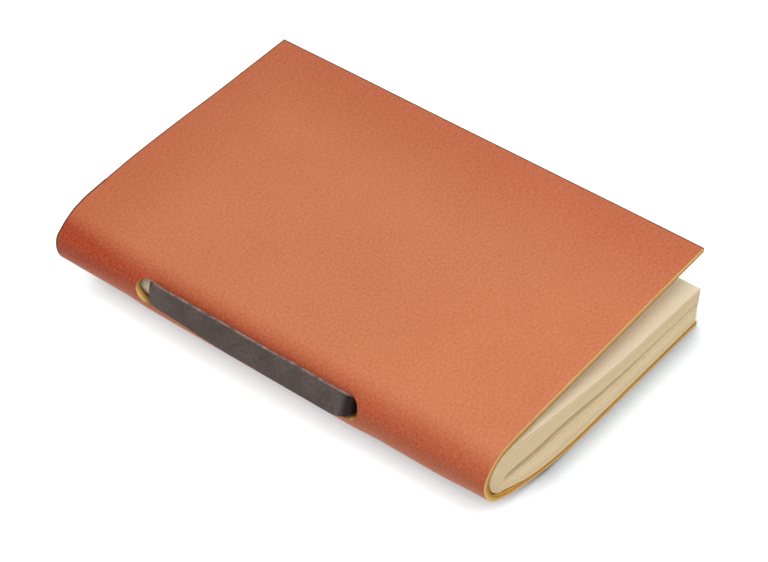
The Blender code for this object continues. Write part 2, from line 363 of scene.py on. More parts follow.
@dataclass(frozen=True)
class FibreLeather:
    """Leather where it was cut or split: a matt mat of loose fibres, paler or duller than the grain."""

    name: str
    colour: str
    shade: str
    fibre_mm: float = 0.35
    streak_mm: float = 6.0
    roughness: float = 0.85
    bump_mm: float = 0.08
    deep_tone_and_shade: str = ""
    bump: float = 0.5
    specular: float = 0.2

    def material(self) -> bpy.types.Material:
        """Makes the fibre material on the piece's own coordinates."""
        material, tree, shader = new_material(self.name)
        place = add_node(tree, "ShaderNodeTexCoord", {}, {}).outputs["Object"]
        place = add_node(tree, "ShaderNodeMapping", {}, {"Vector": place, "Scale": (PER_MM, PER_MM, PER_MM)})
        place = place.outputs["Vector"]
        fibres = add_node(
            tree,
            "ShaderNodeTexNoise",
            {},
            {"Vector": place, "Scale": 1 / self.fibre_mm, "Detail": 4.0, "Roughness": 0.65},
        )
        streaks = add_node(
            tree,
            "ShaderNodeTexNoise",
            {},
            {"Vector": place, "Scale": 1 / self.streak_mm, "Detail": 2.0},
        )
        blend = add_node(
            tree,
            "ShaderNodeMath",
            {"operation": "MULTIPLY"},
            {0: fibres.outputs["Fac"], 1: streaks.outputs["Fac"]},
        )
        blend = add_node(
            tree,
            "ShaderNodeMapRange",
            {},
            {"Value": blend.outputs["Value"], "From Min": 0.12, "From Max": 0.42},
        )
        base = add_node(
            tree,
            "ShaderNodeMix",
            {"data_type": "RGBA"},
            {0: blend.outputs["Result"], 6: linear(self.shade), 7: linear(self.colour)},
        )
        if self.deep_tone_and_shade:
            # Darker towards the flesh side on a cut edge, and painted shade where the strap goes in through
            # its holes
            depth = add_node(tree, "ShaderNodeAttribute", {"attribute_name": "depth"}, {}).outputs["Fac"]
            depth = add_node(
                tree,
                "ShaderNodeMapRange",
                {},
                {"Value": depth, "From Min": 0.15, "From Max": 0.8},
            )
            base = add_node(
                tree,
                "ShaderNodeMix",
                {"data_type": "RGBA"},
                {0: depth.outputs["Result"], 6: base.outputs[2], 7: linear(self.deep_tone_and_shade)},
            )
        tree.links.new(base.outputs[2], shader.inputs["Base Color"])
        bump = add_node(
            tree,
            "ShaderNodeBump",
            {},
            {"Height": fibres.outputs["Fac"], "Strength": self.bump, "Distance": self.bump_mm * MM},
        )
        tree.links.new(bump.outputs["Normal"], shader.inputs["Normal"])
        shader.inputs["Roughness"].default_value = self.roughness
        shader.inputs["Specular IOR Level"].default_value = self.specular
        return material


@dataclass(frozen=True)
class BookPaper:
    """Uncoated book paper, guillotined: a matt cream with soft fibres, and faint streaks on the cut edges."""

    name: str
    colour: str
    shade: str
    streak: float = 0.5
    fibre_mm: float = 0.7
    layer_mm: float = 0.33
    streak_mm: float = 28.0
    roughness: float = 0.9
    painted_gutter_shade: str = ""
    bump: float = 0.25
    bump_mm: float = 0.04
    specular: float = 0.15

    def material(self) -> bpy.types.Material:
        """Makes the paper's material on the piece's own coordinates."""
        material, tree, shader = new_material(self.name)
        place = add_node(tree, "ShaderNodeTexCoord", {}, {}).outputs["Object"]
        fine = add_node(tree, "ShaderNodeMapping", {}, {"Vector": place, "Scale": (PER_MM, PER_MM, PER_MM)})
        fibres = add_node(
            tree,
            "ShaderNodeTexNoise",
            {},
            {"Vector": fine.outputs["Vector"], "Scale": 1 / self.fibre_mm, "Detail": 4.0, "Roughness": 0.6},
        )
        long = (PER_MM / self.streak_mm, PER_MM / self.streak_mm, PER_MM / self.layer_mm)
        layers = add_node(tree, "ShaderNodeMapping", {}, {"Vector": place, "Scale": long})
        streaks = add_node(
            tree,
            "ShaderNodeTexNoise",
            {},
            {"Vector": layers.outputs["Vector"], "Scale": 1.0, "Detail": 3.0, "Roughness": 0.6},
        )
        blend = add_node(
            tree,
            "ShaderNodeMix",
            {"data_type": "FLOAT"},
            {0: self.streak, 2: fibres.outputs["Fac"], 3: streaks.outputs["Fac"]},
        )
        blend = add_node(
            tree,
            "ShaderNodeMapRange",
            {},
            {"Value": blend.outputs[0], "From Min": 0.3, "From Max": 0.7},
        )
        base = add_node(
            tree,
            "ShaderNodeMix",
            {"data_type": "RGBA"},
            {0: blend.outputs["Result"], 6: linear(self.shade), 7: linear(self.colour)},
        )
        if self.painted_gutter_shade:
            # Painted shade where the sheets' ends lie beside the gutter
            depth = add_node(tree, "ShaderNodeAttribute", {"attribute_name": "depth"}, {}).outputs["Fac"]
            base = add_node(
                tree,
                "ShaderNodeMix",
                {"data_type": "RGBA"},
                {0: depth, 6: base.outputs[2], 7: linear(self.painted_gutter_shade)},
            )
        tree.links.new(base.outputs[2], shader.inputs["Base Color"])
        bump = add_node(
            tree,
            "ShaderNodeBump",
            {},
            {"Height": fibres.outputs["Fac"], "Strength": self.bump, "Distance": self.bump_mm * MM},
        )
        tree.links.new(bump.outputs["Normal"], shader.inputs["Normal"])
        shader.inputs["Roughness"].default_value = self.roughness
        shader.inputs["Specular IOR Level"].default_value = self.specular
        return material


COVER_GRAIN = GrainLeather()
COVER_CUT = FibreLeather("cut_edge_of_tan_hide", "#eac27c", "#dab066", deep_tone_and_shade="#b07a30")
COVER_RIM = FibreLeather("dark_rim_of_tan_hide", "#6b4433", "#553426")
COVER_FLESH = FibreLeather(
    "flesh_side_of_tan_hide",
    "#dcab50",
    "#c08a3a",
    fibre_mm=0.6,
    streak_mm=14.0,
    roughness=0.95,
    bump_mm=0.12,
)
STRAP_GRAIN = FibreLeather(
    "worn_dark_brown_hide",
    "#665955",
    "#4b413c",
    fibre_mm=0.9,
    streak_mm=9.0,
    roughness=0.62,
    bump_mm=0.07,
    # Painted shade at the strap's ends, where they go into their holes
    deep_tone_and_shade="#1d120e",
)
STRAP_CUT = FibreLeather(
    "cut_edge_of_dark_hide",
    "#a98b87",
    "#4e403c",
    fibre_mm=0.5,
    streak_mm=2.5,
    roughness=0.9,
    bump_mm=0.1,
)
PAPER_FACE = BookPaper("uncoated_cream_paper", "#f3e6cc", "#ebdbbe", streak=0.1)
PAPER_CUT = BookPaper("guillotined_paper_edge", "#dfcaa4", "#d5be95", streak=0.7, painted_gutter_shade="#ac9264")


def flat_grid(
    low: tuple[float, float],
    high: tuple[float, float],
    cell: float,
    across: list[float],
    along: list[float],
) -> bmesh.types.BMesh:
    """Lays out a flat piece as a grid, with extra lines where it bends or is cut.

    Args:
        low: its lowest corner.
        high: its highest corner.
        cell: about how large its cells are.
        across: X places of the extra lines.
        along: Y places of the extra lines.

    Returns:
        The flat piece.
    """
    piece = bmesh.new()
    size = (high[0] - low[0], high[1] - low[1])
    middle = Vector(((high[0] + low[0]) / 2, (high[1] + low[1]) / 2, 0.0))
    counts = [max(1, round(length / cell)) for length in size]
    place = Matrix.Translation(middle) @ Matrix.Diagonal((size[0], size[1], 1.0, 1.0))
    bmesh.ops.create_grid(piece, x_segments=counts[0], y_segments=counts[1], size=0.5, matrix=place)
    lines = [(Vector((at, 0.0, 0.0)), Vector((1.0, 0.0, 0.0))) for at in across if low[0] < at < high[0]]
    lines += [(Vector((0.0, at, 0.0)), Vector((0.0, 1.0, 0.0))) for at in along if low[1] < at < high[1]]
    for point, normal in lines:
        everything = piece.verts[:] + piece.edges[:] + piece.faces[:]
        bmesh.ops.bisect_plane(piece, geom=everything, dist=WELD, plane_co=point, plane_no=normal)
    return piece


def punch(piece: bmesh.types.BMesh, centre: tuple[float, float], radius: float) -> None:
    """Punches a round hole in a flat piece.

    Args:
        piece: the flat piece, changed in place.
        centre: the hole's centre.
        radius: the hole's radius.
    """
    point = Vector((*centre, 0.0))
    inside = [face for face in piece.faces if (face.calc_center_median() - point).length < radius]
    bmesh.ops.delete(piece, geom=inside, context='FACES')
    rim = [vert for vert in piece.verts if vert.is_boundary and (vert.co - point).length < HOLE_RING * radius]
    for vert in rim:
        vert.co = point + (vert.co - point).normalized() * radius


def thicken(piece: bmesh.types.BMesh, thickness: float) -> None:
    """Gives a flat piece its thickness, with its outer face at height 0.

    Args:
        piece: the flat piece, changed in place.
        thickness: how thick it is.
    """
    bmesh.ops.solidify(piece, geom=piece.faces[:], thickness=thickness)
    bmesh.ops.recalc_face_normals(piece, faces=piece.faces[:])
    top = max(vert.co.z for vert in piece.verts)
    bmesh.ops.translate(piece, verts=piece.verts[:], vec=(0.0, 0.0, -top))
    piece.normal_update()


def ease_edges(piece: bmesh.types.BMesh, width: float, seams: list[float]) -> None:
    """Rounds the cut edges of a slab, other than where it joins its neighbour.

    Args:
        piece: the slab, changed in place.
        width: how wide the rounding is.
        seams: X places of the joins.
    """
    picked = []
    for edge in piece.edges:
        flats = [abs(face.normal.z) > EDGE_TILT for face in edge.link_faces]
        joined = any(all(abs(vert.co.x - at) < SEAM_NEAR for vert in edge.verts) for at in seams)
        if flats in ([True, False], [False, True]) and not joined:
            picked.append(edge)
    bmesh.ops.bevel(
        piece,
        geom=picked,
        offset=width,
        offset_type='OFFSET',
        segments=2,
        profile=0.5,
        affect='EDGES',
        clamp_overlap=True,
        material=-1,
    )
    piece.normal_update()


def mark_slab(piece: bmesh.types.BMesh) -> None:
    """Keeps a slab's flat layout as its UV map in metres and its depth, and sorts its faces by layer.

    Args:
        piece: the slab, changed in place.
    """
    layout = piece.loops.layers.uv.new("flat")
    depth = piece.verts.layers.float.new("depth")
    bottom = min(vert.co.z for vert in piece.verts)
    for vert in piece.verts:
        vert[depth] = vert.co.z / bottom
    for face in piece.faces:
        face.smooth = True
        if face.normal.z > FACE_TILT:
            face.material_index = Layer.OUTER
        elif face.normal.z < -FACE_TILT:
            face.material_index = Layer.INNER
        else:
            face.material_index = Layer.CUT
        for loop in face.loops:
            loop[layout].uv = (loop.vert.co.x + loop.vert.co.z, loop.vert.co.y + loop.vert.co.z)


def wrap(piece: bmesh.types.BMesh, bend: Bend) -> None:
    """Wraps a flat slab to its place.

    Args:
        piece: the slab, changed in place.
        bend: gives the place of each point of the slab.
    """
    for vert in piece.verts:
        vert.co = bend(vert.co)


def finish_piece(
    name: str,
    slabs: list[bmesh.types.BMesh],
    materials: list[bpy.types.Material],
) -> bpy.types.Object:
    """Joins wrapped slabs to one piece, with its materials.

    Args:
        name: the piece's name.
        slabs: its wrapped slabs, which are freed.
        materials: one material for each layer.

    Returns:
        The piece, at the origin.
    """
    joined = bmesh.new()
    for slab in slabs:
        bmesh.ops.recalc_face_normals(slab, faces=slab.faces[:])
        part = bpy.data.meshes.new(name)
        slab.to_mesh(part)
        slab.free()
        joined.from_mesh(part)
        bpy.data.meshes.remove(part)
    mesh = bpy.data.meshes.new(name)
    joined.to_mesh(mesh)
    joined.free()
    for material in materials:
        mesh.materials.append(material)
    mesh.set_sharp_from_angle(angle=SHARP_ANGLE)
    piece = bpy.data.objects.new(name, mesh)
    bpy.context.scene.collection.objects.link(piece)
    return piece


@dataclass
class Build:
    """Sizes that the covers, the paper and the strap share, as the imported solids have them."""

    hinge: Vector
    height: float
    back_reach: float
    front_reach: float
    page_reach: float
    page_height: float
    leather: float = 1.3 * MM
    spine_radius: float = 8.26 * MM
    spine_rise: float = 0.75 * MM
    front_tilt: float = radians(2.6)
    back_flat_start: float = 31.75 * MM
    panel_start: float = 10.3 * MM
    paper_radius: float = 5.9 * MM
    gap: float = 0.3 * MM
    gutter_slope: float = 0.0788
    strap_angle: float = radians(164.0)
    head_hole: float = 35.4 * MM
    tail_hole: float = -25.6 * MM
    hole_radius: float = 3.4 * MM

    @classmethod
    def from_frame(cls) -> "Build":
        """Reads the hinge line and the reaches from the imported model."""
        joint = next(row for row in frame["record"]["behaviour"]["joints"] if row["name"] == "spine_turn")
        hinge = Vector(joint["pos_m"])
        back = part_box("back_cover")
        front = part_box("front_cover")
        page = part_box("lower_leaves_1")
        return cls(
            hinge=hinge,
            height=back[1][1] - back[0][1],
            back_reach=back[1][0] - hinge.x,
            front_reach=front[1][0] - hinge.x,
            page_reach=page[1][0] - hinge.x,
            page_height=page[1][1] - page[0][1],
        )

    def place(self, across: float, along: float, up: float) -> Vector:
        """Puts a point of the hinge line's cross plane in the row frame."""
        return Vector((self.hinge.x + across, along, self.hinge.z + up))

    def gutter_angle(self) -> float:
        """Angle at which the gutter slopes down towards the fore edge."""
        return -atan(self.gutter_slope)

    def gutter_place(self, across: float, along: float, up: float, drop: float = 0.0) -> Vector:
        """Puts a point measured along the gutter's slope in the row frame.

        Args:
            across: distance along the slope from the hinge line.
            along: place along the spine.
            up: distance out from the slope.
            drop: how much lower it hangs.

        Returns:
            The point's place.
        """
        turn = self.gutter_angle()
        rise = across * sin(turn) + up * cos(turn) - drop
        return self.place(across * cos(turn) - up * sin(turn), along, rise)

    def spine_height(self) -> float:
        """Height of the spine's centre over the table."""
        return self.hinge.z + self.spine_rise

    def back_curve(self) -> float:
        """Radius of the back cover's bend, which meets the table and the spine's round smoothly."""
        span = self.back_flat_start**2 + self.spine_height()**2 - self.spine_radius**2
        return span / (2 * (self.spine_height() - self.spine_radius))

    def back_inside(self, reach: float) -> float:
        """Height of the back cover's inner face at a reach from the hinge line."""
        bend = max(self.back_flat_start - reach, 0.0)
        return self.back_curve() - self.hinge.z - sqrt((self.back_curve() - self.leather)**2 - bend**2)


@dataclass
class HideCover:
    """One hide: the back, round the spine and over the front, in three pieces that meet edge to edge."""

    build: Build
    hide: float = 1.2 * MM
    cell: float = 2.6 * MM
    fine_cell: float = 0.5 * MM
    fine_reach: float = 15.0 * MM
    edge_round: float = 0.22 * MM
    hump: float = 0.8 * MM
    hump_peak: float = 22.0 * MM
    hump_end: float = 62.0 * MM
    tail_lift: float = -0.35 * MM
    head_drop: float = 0.6 * MM
    slump_tail: float = 0.55 * MM
    slump_head: float = 1.2 * MM
    slump_middle: float = 7.0 * MM
    slump_spread: float = 9.0 * MM
    bulge: float = 0.35 * MM
    bulge_fade: float = 9.0 * MM
    tail_tuck: float = 0.5 * MM
    tuck_fade: float = 16.0 * MM
    swell: float = 0.45
    swell_reach: float = 5.0 * MM
    swell_flat: float = 6.0 * MM
    swell_end: float = 17.0 * MM
    front_swell: float = 0.4
    hole_swell: float = 0.35
    hole_swell_ring: float = 2.0
    rim: float = 0.42 * MM
    ripple: float = 0.1 * MM
    ripple_size: float = 22.0 * MM
    ripple_seed: float = 0.3
    blend_back: float = 10.0 * MM
    blend_front: float = 8.0 * MM
    lift_reach: float = 26.0 * MM
    pieces: list[bpy.types.Object] = field(default_factory=list)

    def seam_angle(self) -> float:
        """Direction from the spine's centre of the line along its middle, where the strap lies."""
        build = self.build
        out = build.spine_rise * sin(build.strap_angle) + build.spine_radius
        return atan2(out * sin(build.strap_angle) - build.spine_rise, out * cos(build.strap_angle))

    def arc_lengths(self) -> tuple[float, float, float]:
        """Works out the bent stretches of the outer face.

        Returns:
            The lengths of the spine's upper part, its lower part and the back cover's bend.
        """
        build = self.build
        meeting = atan2(build.back_flat_start, build.back_curve() - build.spine_height())
        upper = build.spine_radius * (self.seam_angle() - pi / 2 - build.front_tilt)
        lower = build.spine_radius * (3 * pi / 2 - meeting - self.seam_angle())
        return upper, lower, build.back_curve() * meeting

    def front_run(self, reach: float) -> float:
        """Distance round the outer face from the spine's middle to a reach on the front cover."""
        start = -self.build.spine_radius * sin(self.build.front_tilt)
        return self.arc_lengths()[0] + (reach - start) / cos(self.build.front_tilt)

    def front_length(self) -> float:
        """Distance round the outer face from the spine's middle to the front cover's fore edge."""
        return self.front_run(self.build.front_reach)

    def back_length(self) -> float:
        """Distance round the outer face from the spine's middle to the back cover's fore edge."""
        return sum(self.arc_lengths()[1:]) + self.build.back_reach - self.build.back_flat_start

    def spring(self, reach: float, along: float) -> float:
        """How far the front cover stands off a flat panel: humped at the head and twisted at the fore edge.

        Args:
            reach: distance from the hinge line.
            along: place along the spine.

        Returns:
            The rise.
        """
        head = along / self.build.height + 0.5
        rise = ease(0.0, self.hump_peak, reach) * (1.0 - ease(self.hump_peak, self.hump_end, reach))
        fore = max(reach / self.build.front_reach, 0.0)**2
        twist = self.tail_lift - (self.tail_lift + self.head_drop) * head
        return self.hump * head * rise + fore * twist

    def slump(self, length: float, along: float) -> float:
        """How far the spine sinks inwards; below 0 it bulges out, as its foot does beside the strap.

        Args:
            length: distance round the outer face from the spine's middle.
            along: place along the spine.

        Returns:
            The distance.
        """
        head = along / self.build.height + 0.5
        depth = self.slump_tail + (self.slump_head - self.slump_tail) * head
        if length < 0.0:
            tail = self.build.tail_hole
            end = self.build.head_hole
            pulled = ease(tail - self.bulge_fade, tail, along)
            pulled *= 1.0 - ease(end, end + self.bulge_fade, along)
            tucked = 1.0 - ease(0.0, self.tuck_fade, along + self.build.height / 2)
            depth = self.tail_tuck * tucked - self.bulge * pulled
        apart = min(abs(abs(length) - self.slump_middle) / self.slump_spread, 1.0)
        return depth * cos(apart * pi / 2)**2 * ease(0.0, 0.5 * self.slump_middle, abs(length))

    def plump(self, length: float, along: float) -> float:
        """How many times thicker the hide is at its cuts: along the tail, round the fold and at the holes.

        Args:
            length: distance round the outer face from the spine's middle.
            along: place along the spine.

        Returns:
            The factor.
        """
        build = self.build
        tail = 1.0 - ease(0.0, self.swell_reach, along + build.height / 2)
        factor = 1.0 + self.swell * tail * (1.0 - ease(self.swell_flat, self.swell_end, abs(length)))
        factor += self.front_swell * tail * ease(self.swell_flat, self.swell_end, length)
        for centre in (build.head_hole, build.tail_hole):
            apart = sqrt(length**2 + (along - centre)**2)
            ring = self.hole_swell_ring * build.hole_radius
            factor += self.hole_swell * (1.0 - ease(build.hole_radius, ring, apart))
        return factor

    def wrap_point(self, point: Vector) -> Vector:
        """Wraps the flat hide round the spine.

        Args:
            point: distance round the outer face from the spine's middle, place along it, and height.

        Returns:
            The point's place.
        """
        build = self.build
        upper, lower, bend = self.arc_lengths()
        length = point.x
        waves = Vector((length / self.ripple_size, point.y / self.ripple_size, self.ripple_seed))
        out = point.z * self.plump(length, point.y)
        out += self.ripple * noise.noise(waves) * ease(0.0, self.fine_reach, abs(length))
        if -lower <= length <= upper:
            angle = self.seam_angle() - length / build.spine_radius
            radius = build.spine_radius + out - self.slump(length, point.y)
            across = radius * cos(angle)
            up = build.spine_rise + radius * sin(angle)
        elif length > upper:
            angle = pi / 2 + build.front_tilt
            radius = build.spine_radius + out - self.slump(length, point.y)
            across = radius * cos(angle) + (length - upper) * cos(build.front_tilt)
            up = build.spine_rise + radius * sin(angle)
            up += (length - upper) * sin(build.front_tilt)
        else:
            run = -length - lower
            angle = pi / 2 + atan2(build.back_flat_start, build.back_curve() - build.spine_height())
            angle = -angle + min(run, bend) / build.back_curve()
            radius = build.back_curve() + out - self.slump(length, point.y)
            across = build.back_flat_start + radius * cos(angle) + max(run - bend, 0.0)
            up = build.back_curve() - build.hinge.z + radius * sin(angle)
            up = max(up, -build.hinge.z)
        if length > 0.0:
            up += self.spring(across, point.y) * ease(0.0, upper, length)
        return build.place(across, point.y, up)

    def cut(self, start: float, end: float, seams: list[float]) -> bmesh.types.BMesh:
        """Cuts one stretch of the hide and wraps it.

        Args:
            start: its first distance round from the spine's middle.
            end: its last.
            seams: where it meets its neighbours.

        Returns:
            The wrapped slab.
        """
        build = self.build
        half = build.height / 2
        count = round(self.fine_reach / self.fine_cell)
        across = [step * self.fine_cell for step in range(-count, count + 1)]
        reach = round(HOLE_RING * build.hole_radius / self.fine_cell)
        across.append(self.front_length() - self.rim)
        along = [half - self.rim]
        for centre in (build.head_hole, build.tail_hole):
            along += [centre + step * self.fine_cell for step in range(-reach, reach + 1)]
        slab = flat_grid((start, -half), (end, half), self.cell, across, along)
        for centre in (build.head_hole, build.tail_hole):
            if start <= 0.0 <= end:
                punch(slab, (0.0, centre), build.hole_radius)
        thicken(slab, self.hide)
        ease_edges(slab, self.edge_round, seams)
        mark_slab(slab)
        self.darken_rim(slab)
        wrap(slab, self.wrap_point)
        return slab

    def darken_rim(self, slab: bmesh.types.BMesh) -> None:
        """Darkens the grain's rim at the head and at the front cover's fore edge.

        Args:
            slab: the flat slab, changed in place.
        """
        for face in slab.faces:
            centre = face.calc_center_median()
            head = centre.y > self.build.height / 2 - self.rim
            fore = centre.x > self.front_length() - self.rim
            if face.normal.z > RIM_TILT and (head or fore):
                face.material_index = Layer.RIM

    def dress(self) -> list[bpy.types.Material]:
        """Makes the finishes of the grain side, the cut edges, the flesh side and the dark rim."""
        return [COVER_GRAIN.material(), COVER_CUT.material(), COVER_FLESH.material(), COVER_RIM.material()]

    def build_pieces(self) -> None:
        """Makes the three pieces, and lets each bend between the bodies that it joins."""
        build = self.build
        finishes = self.dress()
        seam = self.front_run(build.panel_start)
        back = finish_piece("back_hide", [self.cut(-self.back_length(), 0.0, [0.0])], finishes)
        spine = finish_piece("spine_hide", [self.cut(0.0, seam, [0.0, seam])], finishes)
        front = finish_piece("front_hide", [self.cut(seam, self.front_length(), [seam])], finishes)
        middle = build.place(-build.spine_radius, 0.0, 0.0)
        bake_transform(back, "back", "spine", start=build.place(self.blend_back, 0.0, 0.0), end=middle)
        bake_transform(spine, "spine", "upper_6", start=middle, end=build.place(self.blend_front, 0.0, 0.0))
        panel = build.place(build.panel_start, 0.0, 0.0)
        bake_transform(front, "upper_6", "front", start=panel, end=build.place(self.lift_reach, 0.0, 0.0))
        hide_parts("back_cover")
        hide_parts("spine_cover")
        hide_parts("front_cover")
        self.pieces = [back, spine, front]
        for piece in self.pieces:
            LOG.info("cover piece %s", piece.name)


@dataclass
class FoldedSheets:
    """Eighteen folded sheets in six bundles, nested one in another round the gutter."""

    build: Build
    bundles: int = 6
    sheets: int = 18
    paper: float = 0.27 * MM
    fold_run: float = 9.0 * MM
    cell: float = 4.5 * MM
    fold_cell: float = 0.9 * MM
    lens: float = 0.45 * MM
    lens_start: float = -0.5 * MM
    lens_rise: float = 6.0 * MM
    lens_peak: float = 14.0 * MM
    lens_end: float = 34.0 * MM
    shut: float = 0.2 * MM
    fold_recess: float = 0.4 * MM
    recess_end: float = 14.0 * MM
    step_back: float = 0.6 * MM
    step_sheets: int = 12
    # Sheets whose cut edges get painted shade beside the gutter
    shaded_lower_sheets: int = 5
    shaded_upper_sheets: int = 2
    shade_fold_edge: float = 2.0 * MM
    shade_fade_start: float = 35.0 * MM
    shade_fade_end: float = 80.0 * MM
    tail_pinch: float = 0.5 * MM
    pinch_fade: float = 6.0 * MM
    tail_drop: float = 2.3 * MM
    drop_start: float = 4.0 * MM
    drop_end: float = 30.0 * MM
    drop_fade: float = 24.0 * MM
    fold_gap: float = 0.45 * MM
    fold_gap_end: float = 10.0 * MM
    fore_growth: float = 1.6 * MM
    upper_growth: float = 0.5 * MM
    strap_room: float = 0.75 * MM
    strap_reach: float = 6.5 * MM
    strap_fade: float = 16.0 * MM
    strap_ends: float = 9.0 * MM
    sag: float = 1.6 * MM
    sag_peak: float = 42.0 * MM
    fore_thickness: float = 4.5 * MM
    slant: float = 1.9 * MM
    end_jitter: float = 0.05 * MM
    fore_jitter: float = 0.08 * MM
    luck: tuple[float, float, float] = (0.37, 1.9, 5.0)
    luck_ends: tuple[float, float] = (0.0, 7.5)
    luck_fore: float = 3.3
    wave: float = 0.015 * MM
    wave_across: float = 14.0 * MM
    wave_along: float = 30.0 * MM
    wave_step: float = 3.7
    fill: float = 0.94
    slit_start: float = -0.8 * MM
    slit_half: float = 2.0 * MM
    slits: tuple[tuple[float, float], ...] = ((32.4 * MM, 37.0 * MM), (-27.7 * MM, -25.9 * MM))
    blend_reach: float = 6.5 * MM
    pieces: list[bpy.types.Object] = field(default_factory=list)

    def droop(self, reach: float) -> float:
        """How far the gutter hangs under a straight line at a reach from the hinge line."""
        rise = 1.0 - ease(self.sag_peak, self.build.page_reach, reach)
        return self.sag * ease(0.0, self.sag_peak, reach) * rise

    def drop(self, reach: float, along: float) -> float:
        """How far the gutter hangs lower still beside the fold at the tail.

        Args:
            reach: distance from the hinge line.
            along: place along the spine.

        Returns:
            The distance.
        """
        tail = 1.0 - ease(0.0, self.drop_fade, along + self.build.height / 2)
        return self.tail_drop * tail * (1.0 - ease(self.drop_start, self.drop_end, reach))

    def opening(self, reach: float, along: float) -> float:
        """Half the gap between the halves: a slim lens, wider where the strap lies in the gutter.

        Args:
            reach: distance from the hinge line.
            along: place along the spine.

        Returns:
            Half the gap.
        """
        lens = self.shut + self.lens * (1.0 - ease(self.lens_peak, self.lens_end, reach))
        tail, head = self.slits[1][0], self.slits[0][1]
        beside = ease(tail - self.strap_ends, tail, along) * (1.0 - ease(head, head + self.strap_ends, along))
        room = self.strap_room * beside * (1.0 - ease(self.strap_reach, self.strap_fade, reach))
        return max(lens * ease(self.lens_start, self.lens_rise, reach), room)

    def depth(self, side: Side, reach: float, along: float) -> float:
        """Thickness of one half, from the gutter outwards.

        Args:
            side: which half.
            reach: distance from the hinge line.
            along: place along the spine.

        Returns:
            The thickness.
        """
        build = self.build
        drop = self.drop(reach, along)
        if side is Side.UPPER:
            share = reach / build.page_reach
            return build.paper_radius + (self.fore_thickness - build.paper_radius) * share + drop
        gutter = -build.gutter_slope * reach - self.droop(reach) - drop
        rise = self.fold_gap * (1.0 - ease(0.0, self.fold_gap_end, reach))
        return gutter - build.back_inside(reach) - build.gap - rise

    def fold_depth(self, side: Side, angle: float, along: float) -> float:
        """Distance from the gutter to the outermost fold, which is round about the hinge line.

        Args:
            side: which half.
            angle: direction, from the spine's middle to the half's own.
            along: place along the spine.

        Returns:
            The distance.
        """
        tail = 1.0 - ease(0.0, self.pinch_fade, along + self.build.height / 2)
        radius = self.build.paper_radius - self.tail_pinch * tail
        drop = self.drop(0.0, along)
        rest = self.depth(side, 0.0, along) - radius - side.value * drop
        round_part = side.value * drop * sin(angle) + sqrt(radius**2 - (drop * cos(angle))**2)
        return round_part + rest * ease(0.0, pi / 2, angle)**2

    def recess(self, side: Side, number: int, reach: float) -> float:
        """How far a sheet's ends stand back: near the fold, and in the lower half towards the gutter.

        Args:
            side: which half.
            number: the sheet, counted from the gutter.
            reach: distance from the hinge line.

        Returns:
            The distance.
        """
        back = self.fold_recess * (1.0 - ease(0.0, self.recess_end, reach))
        if side is Side.LOWER:
            inner = max(1.0 - number / self.step_sheets, 0.0)
            back += self.step_back * inner * ease(0.0, self.lens_rise, reach)
        return back

    def painted_gutter_shade(self, side: Side, number: int, reach: float) -> float:
        """How much painted shade a sheet's cut edges get: more beside the gutter, and less towards the fore
        edge.

        Args:
            side: which half.
            number: the sheet, counted from the gutter.
            reach: distance from the hinge line.

        Returns:
            A share from 0 to 1.
        """
        shaded_count = self.shaded_lower_sheets if side is Side.LOWER else self.shaded_upper_sheets
        near = max(1.0 - (number + 0.5) / shaded_count, 0.0)
        near *= ease(-self.shade_fold_edge, self.shade_fold_edge, reach)
        return near * (1.0 - ease(self.shade_fade_start, self.shade_fade_end, reach))

    def wrap_point(self, side: Side, number: int, point: Vector) -> Vector:
        """Wraps a flat half sheet round the fold.

        Args:
            side: which half.
            number: the sheet, counted from the gutter.
            point: distance from the fold's edge, negative on the fold itself, place along, and height.

        Returns:
            The point's place.
        """
        build = self.build
        reach = max(point.x, 0.0)
        angle = min(1.0 + point.x / self.fold_run, 1.0) * pi / 2
        gap = self.opening(reach, point.y)
        if point.x < 0.0:
            limit = self.fold_depth(side, angle, point.y)
        else:
            limit = self.depth(side, reach, point.y)
        pitch = (limit - gap) / self.sheets
        out = gap + pitch * (number + 1) + point.z * self.fill * pitch / self.paper
        across = reach - out * cos(angle)
        up = side.value * out * sin(angle)
        if point.x > 0.0:
            sheet = self.wave_step * number + side.value
            seed = Vector((reach / self.wave_across, point.y / self.wave_along, sheet))
            up += self.wave * noise.noise(seed) * ease(0.0, self.lens_end, reach)
        along = point.y * (1.0 - 2.0 * self.recess(side, number, reach) / build.page_height)
        return build.gutter_place(across, along, up, self.droop(reach) + self.drop(reach, point.y))

    def in_slit(self, side: Side, number: int, face: bmesh.types.BMFace) -> bool:
        """Whether a face of the flat sheet lies where the strap's leg goes through it."""
        centre = face.calc_center_median()
        if not any(low < centre.y < high for low, high in self.slits):
            return False
        place = self.wrap_point(side, number, centre) - self.build.hinge
        angle = self.build.strap_angle
        inward = place.x * cos(angle) + place.z * sin(angle)
        aside = place.z * cos(angle) - place.x * sin(angle)
        return inward > self.slit_start and abs(aside) < self.slit_half

